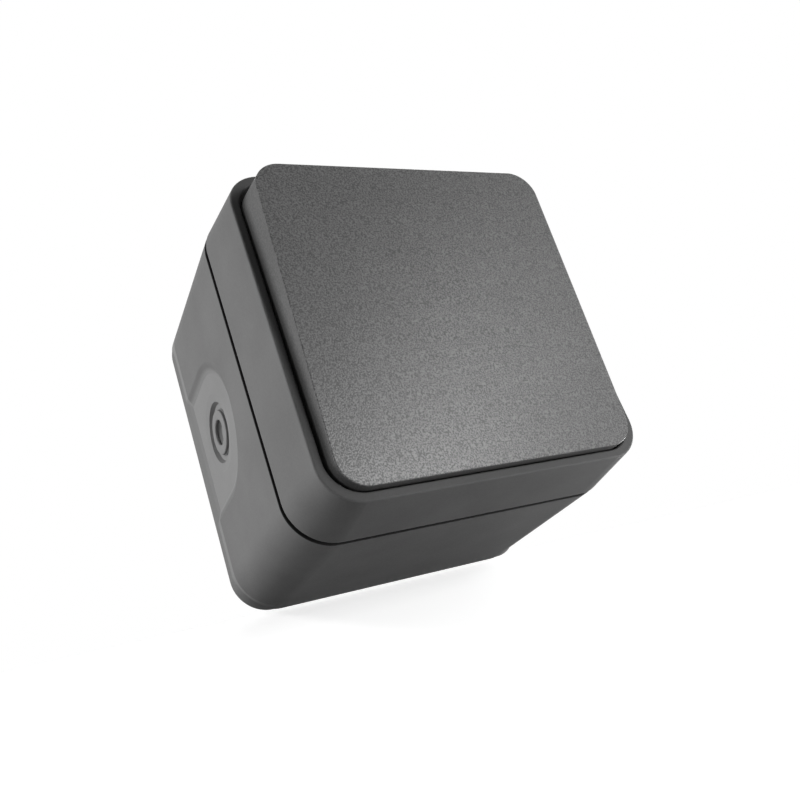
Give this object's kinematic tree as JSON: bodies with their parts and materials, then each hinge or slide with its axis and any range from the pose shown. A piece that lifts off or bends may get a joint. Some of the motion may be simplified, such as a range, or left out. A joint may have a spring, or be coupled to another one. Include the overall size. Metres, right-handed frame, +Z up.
{
  "type": "surface-mounted changeover switch",
  "caption": "Square surface-mounted splash-proof changeover switch with a full-face rocker, drafted box and cover, side cable knock-outs and a two-way contact mechanism.",
  "frame": {"origin": "centre of the back face that lies on the wall", "axes": "+Z up the wall, +Y into the wall, the rocker faces -Y, +X to the right as seen from the front"},
  "size_m": [0.0662, 0.0551, 0.0656],
  "materials": {
    "housing_plastic": "satin moulded dark grey",
    "rocker_plastic": "fine spark-eroded grain, dark grey",
    "seal_rubber": "soft black",
    "insert_plastic": "light grey moulding",
    "plunger_plastic": "smooth natural acetal",
    "terminal_brass": "rolled strip",
    "lever_copper": "rolled strip",
    "contact_silver": "silver rivet",
    "screw_steel": "zinc plated",
    "spring_steel": "drawn wire"
  },
  "bodies": {
    "housing": {"back_box": "housing_plastic", "cover_frame": "housing_plastic", "cover_seal": "seal_rubber", "cover_screws": "screw_steel", "mechanism_seal": "seal_rubber", "insert_base": "insert_plastic", "insert_cap": "insert_plastic", "insert_screws": "screw_steel", "common_terminal": "terminal_brass", "first_way_terminal": "terminal_brass", "second_way_terminal": "terminal_brass", "first_way_contact": "contact_silver", "second_way_contact": "contact_silver", "common_clamp": "screw_steel", "first_way_clamp": "screw_steel", "second_way_clamp": "screw_steel", "terminal_screws": "screw_steel"},
    "rocker": {"rocker_button": "rocker_plastic", "rocker_cradle": "insert_plastic", "plunger_spring": "spring_steel"},
    "plunger": {"plunger": "plunger_plastic"},
    "lever": {"contact_lever": "lever_copper", "upper_lever_contact": "contact_silver", "lower_lever_contact": "contact_silver"}
  },
  "joints": [
    {"name": "rocker_tilt", "type": "hinge", "parent": "housing", "child": "rocker", "pos_m": [0, -0.0444, 0], "axis": [1, 0, 0], "range_deg": [-9.7, 0]},
    {"name": "plunger_slide", "type": "slide", "parent": "rocker", "child": "plunger", "axis": [0, -0.9964, -0.0845], "range_m": [0, 0.0008], "stiffness_N_per_m": 300, "deforming": ["plunger_spring"]},
    {"name": "lever_rock", "type": "hinge", "parent": "housing", "child": "lever", "pos_m": [0, -0.0274, 0], "axis": [1, 0, 0], "range_deg": [0, 9.7]}
  ],
  "couplings": [
    {"joint": "lever_rock", "follows": "rocker_tilt", "ratio": -1}
  ]
}
